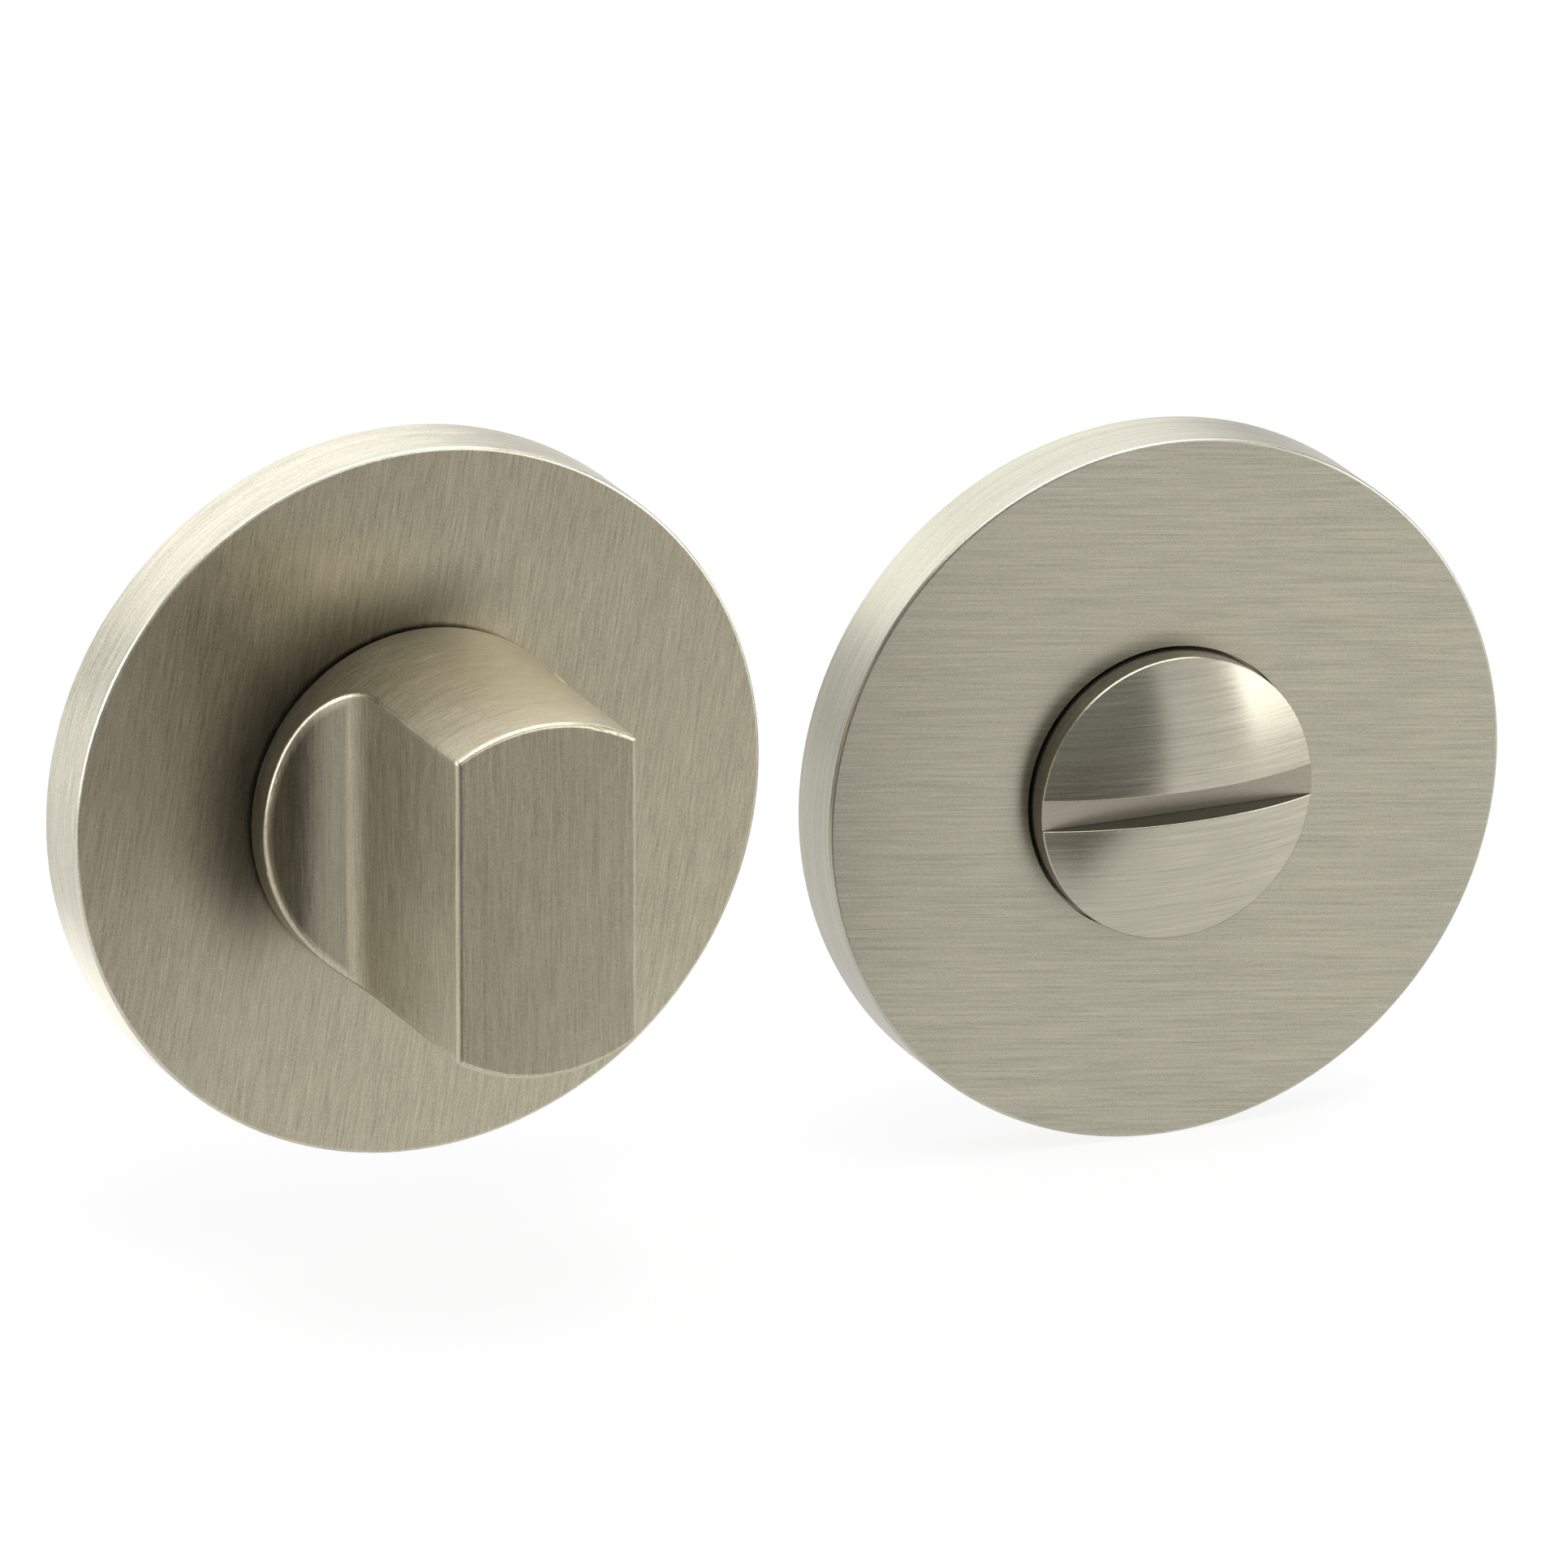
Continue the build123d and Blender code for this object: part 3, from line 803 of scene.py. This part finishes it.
class LOCK_OT_roses(bpy.types.Operator):
    """Brushed nickel on the two cover roses"""
    bl_idname = "lock.roses"
    bl_label = "Cover roses"

    def execute(self, context):
        finish = context.scene.lock_finish
        left_lines = Brushing(colour=finish.turn_nickel, contrast=finish.turn_contrast,
                              length=finish.turn_line_length, angle=finish.turn_line_angle,
                              roughness=finish.nickel_roughness, speckle=finish.speckle)
        right_lines = Brushing(colour=finish.release_nickel, contrast=finish.release_contrast,
                               length=1.0, angle=finish.release_line_angle,
                               roughness=finish.nickel_roughness, speckle=finish.speckle)
        left = Rose(brushing=left_lines, rim_lit_nickel=finish.left_rim_lit_nickel, axis=TURN_AXIS,
                    seat_radius=TURN_SEAT_RADIUS, part_radius=GRIP_RADIUS,
                    painted_shade_width=TURN_SHADE_WIDTH, painted_shade=finish.left_corner_painted_shade)
        right = Rose(brushing=right_lines, rim_lit_nickel=finish.right_rim_lit_nickel, axis=RELEASE_AXIS,
                     seat_radius=BUTTON_RADIUS + BUTTON_CLEARANCE, part_radius=BUTTON_RADIUS,
                     painted_shade_width=BUTTON_SHADE_WIDTH, painted_shade=finish.right_corner_painted_shade)
        dress(rose_material("satin_nickel_left_rose", left, finish), TURN_ROSE)
        dress(rose_material("satin_nickel_right_rose", right, finish), RELEASE_ROSE)
        return {"FINISHED"}


class LOCK_OT_grip(bpy.types.Operator):
    """Brushed nickel on the thumb turn"""
    bl_idname = "lock.grip"
    bl_label = "Thumb turn"

    def execute(self, context):
        dress(grip_material(context.scene.lock_finish), GRIP)
        return {"FINISHED"}


class LOCK_OT_button(bpy.types.Operator):
    """Brushed nickel on the release button and a blasted floor in its coin slot"""
    bl_idname = "lock.button"
    bl_label = "Release button"

    def execute(self, context):
        dress(button_material(context.scene.lock_finish), BUTTON)
        return {"FINISHED"}


class LOCK_OT_plates(bpy.types.Operator):
    """Moulded plastic on the two base plates"""
    bl_idname = "lock.plates"
    bl_label = "Base plates"

    def execute(self, context):
        dress(plate_material(context.scene.lock_finish), "turn_base_plate", "release_base_plate")
        return {"FINISHED"}


class LOCK_OT_bearings(bpy.types.Operator):
    """Turned plastic on the bushes and thrust washers"""
    bl_idname = "lock.bearings"
    bl_label = "Bearings"

    def execute(self, context):
        dress(bearing_material(context.scene.lock_finish),
              "turn_bush", "turn_thrust_washer", "release_bush", "release_thrust_washer")
        return {"FINISHED"}


class LOCK_OT_springs(bpy.types.Operator):
    """Dark spring steel on the rings, spring washers, circlips and pin"""
    bl_idname = "lock.springs"
    bl_label = "Springs and rings"

    def execute(self, context):
        dress(spring_material(context.scene.lock_finish),
              "turn_snap_ring", "turn_spring_washer", "turn_circlip", "spindle_pin",
              "release_snap_ring", "release_spring_washer", "release_circlip")
        return {"FINISHED"}


class LOCK_OT_spindle_and_posts(bpy.types.Operator):
    """Zinc plate on the spindle, and two posts with their threads"""
    bl_idname = "lock.spindle_and_posts"
    bl_label = "Spindle and threaded posts"

    def execute(self, context):
        zinc = zinc_material(context.scene.lock_finish)
        dress(zinc, "spindle")
        thread = context.scene.lock_thread
        threaded_post("left_post_with_thread", "threaded_post_left", thread, zinc)
        threaded_post("right_post_with_thread", "threaded_post_right", thread, zinc)
        return {"FINISHED"}


# The floor touches the lower rose
FLOOR_LEVEL = cad_box[0].z
# Where metal sees the near floor turn into the further one, in metres: distances from the origin, and
# how far behind the door's face it is all near
NEAR_DISTANCE = (0.045, 0.085)
NEAR_BEHIND = (0.0, 0.04)
# Outline of the grey card. It leaves free the floor that the flat fronts mirror to the camera.
CARD_OUTLINE = ((-0.010, -0.055), (0.045, -0.034), (0.049, -0.045), (0.058, -0.069), (0.072, -0.095),
                (0.083, -0.112), (0.100, -0.165), (0.307, -1.0), (-1.3, -1.0), (-0.19, -0.170))
CARD_LEVEL = FLOOR_LEVEL + 0.0005
PANEL_LEVEL = FLOOR_LEVEL + 0.001
# The point that the softboxes light
LOCK_MIDDLE = (0.0287, -0.005, -0.0035)
WHITE = (1.0, 1.0, 1.0)


@dataclass
class Softbox:
    """A lamp: its size and place in metres, the setting that holds its radiance and the nodes it lights."""
    name: str
    setting: str
    width: float
    height: float
    place: tuple
    lights: tuple = ()


SOFTBOXES = (
    Softbox("overhead_softbox", "overhead_light", 1.3, 1.0, (0.05, -0.20, 0.95)),
    Softbox("right_softbox", "right_light", 1.0, 0.6, (1.00, -0.35, 0.27)),
    Softbox("back_softbox", "back_light", 2.4, 1.4, (0.20, 0.90, 0.85)),
    Softbox("left_softbox", "left_light", 1.2, 0.6, (-0.98, 0.22, 0.28), TURN_HALF),
    Softbox("turn_fill_softbox", "turn_fill_light", 0.75, 0.5, (0.45, -0.88, 0.32), TURN_HALF),
    Softbox("release_rim_softbox", "release_rim_light", 0.6, 0.5, (-0.45, 0.85, 0.25), (RELEASE_ROSE,)),
    Softbox("release_fill_softbox", "release_fill_light", 0.60, 0.5, (0.58, -0.83, 0.27), RELEASE_HALF),
)
# Panels that lie on the floor and shine upwards
FRONT_PANEL = Softbox("turn_floor_panel", "floor_panel_light", 0.052, 0.245, (0.072, -0.150, PANEL_LEVEL),
                      TURN_HALF)
SIDE_PANEL = Softbox("turn_side_panel", "side_panel_light", 0.05, 0.06, (0.004, -0.088, PANEL_LEVEL),
                     (TURN_ROSE,))
BACK_PANEL = Softbox("turn_back_panel", "back_panel_light", 0.045, 0.035, (-0.012, 0.038, PANEL_LEVEL),
                     (TURN_ROSE,))
# How much further round than the camera the two panels in front are turned
FRONT_TURN = math.radians(3)


def flat_mesh(name, outline, height):
    """One level face with its corners at these (x, y)."""
    mesh = bpy.data.meshes.new(name)
    mesh.from_pydata([(x, y, height) for x, y in outline], [], [tuple(range(len(outline)))])
    return mesh


def add_floor(studio):
    """Pale floor that shows as nearly plain white and keeps a faint shadow."""
    half = studio.floor_size / 2
    corners = [(-half, -half), (half, -half), (half, half), (-half, half)]
    mesh = flat_mesh("pale_floor", corners, FLOOR_LEVEL)
    shader = Shader(bpy.data.materials.new("pale_floor"))
    here = shader.node("ShaderNodeTexCoord", output="Object")
    distance = shader.node("ShaderNodeVectorMath", {"operation": "LENGTH"}, {0: here}, output="Value")
    y = shader.node("ShaderNodeSeparateXYZ", sockets={0: here}, output="Y")
    near = distance.drop(*NEAR_DISTANCE).larger(y.step(*NEAR_BEHIND))
    reflected = near * (studio.near_whiteness - studio.far_whiteness) + studio.far_whiteness
    path = shader.node("ShaderNodeLightPath", output="Is Camera Ray")
    mirrored = path.other("Is Glossy Ray").larger(path.other("Is Transmission Ray"))
    paint = shader.node("ShaderNodeBsdfDiffuse", sockets={"Color": studio.floor_colour})
    white = shader.node("ShaderNodeEmission", sockets={"Color": WHITE, "Strength": 1.0})
    share = path * studio.floor_whiteness + mirrored * reflected
    mesh.materials.append(shader.surface(shader.mix(share, paint, white)))
    floor = bpy.data.objects.new("pale_floor", mesh)
    bpy.context.scene.collection.objects.link(floor)


def add_grey_card(studio):
    """Card on the floor that only reflections show, as a photographer lays one before bright metal."""
    mesh = flat_mesh("grey_card", CARD_OUTLINE, CARD_LEVEL)
    shader = Shader(bpy.data.materials.new("grey_card"))
    paint = shader.node("ShaderNodeBsdfDiffuse", sockets={"Color": studio.grey_card})
    mesh.materials.append(shader.surface(paint))
    card = bpy.data.objects.new("grey_card", mesh)
    bpy.context.scene.collection.objects.link(card)
    card.visible_camera = False
    card.visible_shadow = False
    card.visible_diffuse = False


def aim(thing, target):
    """Turns a lamp or camera so that its front, -Z, looks at a point."""
    thing.rotation_mode = "QUATERNION"
    thing.rotation_quaternion = (Vector(target) - thing.location).to_track_quat("-Z", "Y")


def add_softbox(softbox, studio):
    """Area lamp that the camera doesn't see. Where it names CAD nodes, it lights only those."""
    lamp = bpy.data.lights.new(softbox.name, "AREA")
    lamp.shape = "RECTANGLE"
    lamp.size = softbox.width
    lamp.size_y = softbox.height
    # An area lamp's power is its radiance times pi times its area
    lamp.energy = getattr(studio, softbox.setting) * math.pi * softbox.width * softbox.height
    holder = bpy.data.objects.new(softbox.name, lamp)
    bpy.context.scene.collection.objects.link(holder)
    holder.location = softbox.place
    holder.visible_camera = False
    if softbox.lights:
        lit = bpy.data.collections.new(softbox.name + "_lights")
        for node in softbox.lights:
            lit.objects.link(frame["nodes"][node])
        holder.light_linking.receiver_collection = lit
    return holder


def lay(panel, turn):
    """Turns a lamp so that it shines upwards, with its width at an angle from +X."""
    panel.rotation_euler = (math.pi, 0.0, turn)


def add_camera(studio):
    """The camera at the photograph's viewing angle."""
    turn, rise = studio.camera_turn, studio.camera_rise
    level = math.cos(rise)
    towards_camera = Vector((-math.sin(turn) * level, -math.cos(turn) * level, math.sin(rise)))
    lens = bpy.data.cameras.new("photo_camera")
    lens.lens = studio.camera_lens
    lens.clip_start = 0.05
    lens.clip_end = 100.0
    camera = bpy.data.objects.new("photo_camera", lens)
    bpy.context.scene.collection.objects.link(camera)
    camera.location = Vector(studio.camera_target) + towards_camera * studio.camera_distance
    aim(camera, studio.camera_target)
    bpy.context.scene.camera = camera


def add_room_light(studio):
    """The world as even light from all round."""
    world = bpy.data.worlds.new("plain_room")
    shader = Shader(world)
    room = shader.node("ShaderNodeBackground", sockets={"Color": WHITE, "Strength": studio.room_light})
    shader.node("ShaderNodeOutputWorld", sockets={"Surface": room})
    bpy.context.scene.world = world


class LOCK_OT_stage(bpy.types.Operator):
    """Pale floor, grey card, soft lamps, camera and even room light"""
    bl_idname = "lock.stage"
    bl_label = "Studio"

    def execute(self, context):
        studio = context.scene.lock_studio
        add_floor(studio)
        add_grey_card(studio)
        for softbox in SOFTBOXES:
            aim(add_softbox(softbox, studio), LOCK_MIDDLE)
        lay(add_softbox(FRONT_PANEL, studio), studio.camera_turn + FRONT_TURN)
        lay(add_softbox(SIDE_PANEL, studio), studio.camera_turn + FRONT_TURN)
        lay(add_softbox(BACK_PANEL, studio), 0.0)
        add_camera(studio)
        add_room_light(studio)
        context.scene.view_settings.view_transform = "Standard"
        return {"FINISHED"}


class LOCK_PT_panel(bpy.types.Panel):
    """Lists the lock's settings and steps"""
    bl_idname = "LOCK_PT_panel"
    bl_label = "Bathroom thumb turn lock"
    bl_space_type = "VIEW_3D"
    bl_region_type = "UI"
    bl_category = "Lock"

    def draw(self, context):
        for group in (context.scene.lock_finish, context.scene.lock_thread, context.scene.lock_studio):
            box = self.layout.box()
            for name in group.__annotations__:
                box.prop(group, name)
        for step in STEPS:
            self.layout.operator(step.bl_idname)


GROUPS = (LockFinish, LockThread, LockStudio)
STEPS = (LOCK_OT_roses, LOCK_OT_grip, LOCK_OT_button, LOCK_OT_plates, LOCK_OT_bearings, LOCK_OT_springs,
         LOCK_OT_spindle_and_posts, LOCK_OT_stage)


def register():
    for kind in (*GROUPS, *STEPS, LOCK_PT_panel):
        bpy.utils.register_class(kind)
    bpy.types.Scene.lock_finish = PointerProperty(type=LockFinish)
    bpy.types.Scene.lock_thread = PointerProperty(type=LockThread)
    bpy.types.Scene.lock_studio = PointerProperty(type=LockStudio)


def unregister():
    del bpy.types.Scene.lock_studio
    del bpy.types.Scene.lock_thread
    del bpy.types.Scene.lock_finish
    for kind in reversed((*GROUPS, *STEPS, LOCK_PT_panel)):
        bpy.utils.unregister_class(kind)


def main():
    register()
    bpy.ops.lock.roses()
    bpy.ops.lock.grip()
    bpy.ops.lock.button()
    bpy.ops.lock.plates()
    bpy.ops.lock.bearings()
    bpy.ops.lock.springs()
    bpy.ops.lock.spindle_and_posts()
    bpy.ops.lock.stage()


if __name__ == "__main__":
    main()
